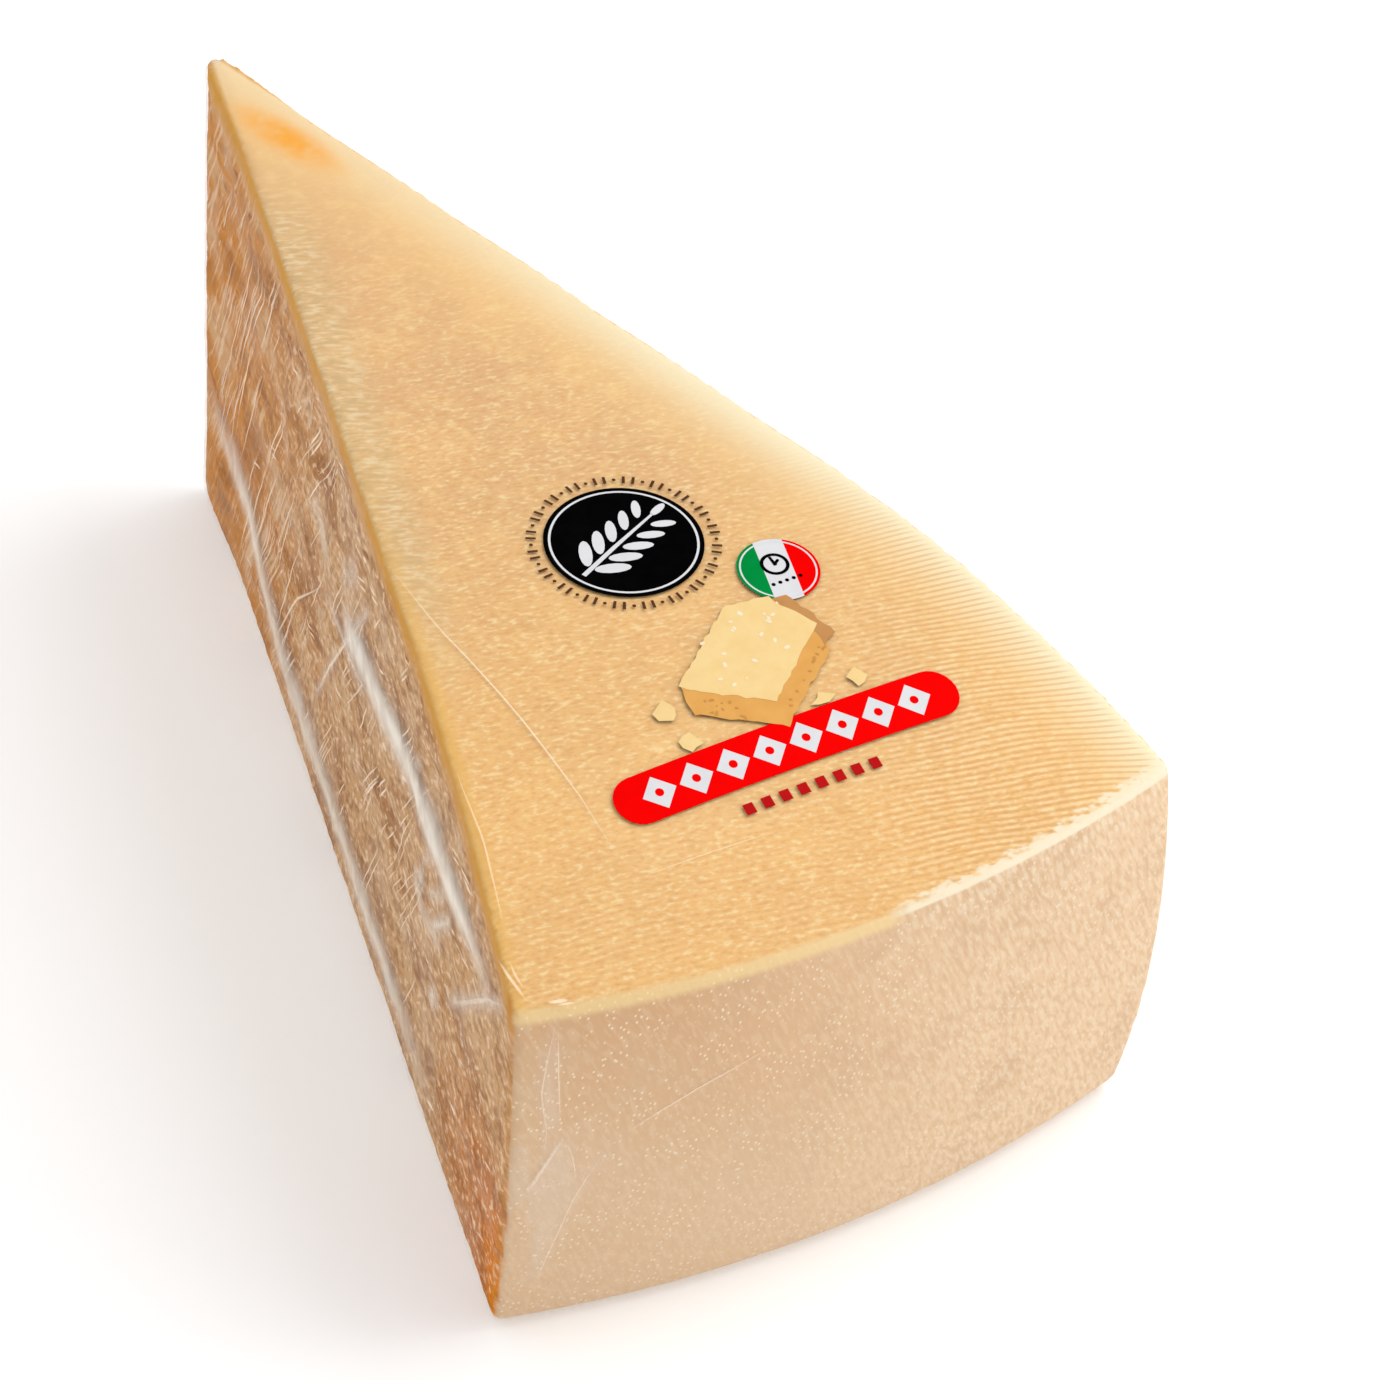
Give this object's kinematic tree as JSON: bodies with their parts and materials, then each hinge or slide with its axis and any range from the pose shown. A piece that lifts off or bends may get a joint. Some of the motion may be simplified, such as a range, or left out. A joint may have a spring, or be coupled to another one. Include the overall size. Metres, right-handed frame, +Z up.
{
  "type": "parmesan chunk",
  "caption": "Wedge of hard cheese in tight clear film, with a domed top, a barrel-shaped rind, craggy cut faces and a clear label on top.",
  "frame": {"origin": "under the middle of the wedge's box, on the surface that it stands on", "axes": "+Z up, +Y from the rind towards the tip, +X to the right when looking at the rind"},
  "size_m": [0.1168, 0.2121, 0.0922],
  "materials": {
    "cheese": "dry straw-gold hard cheese with a smooth cloth-marked rind and granular cut faces",
    "film": "clear shrunk film, glossy, with fine creases",
    "label": "clear film label with flat printed fields of colour"
  },
  "bodies": {
    "root": {"wrapped_wedge": "cheese", "label": "label"}
  },
  "joints": []
}
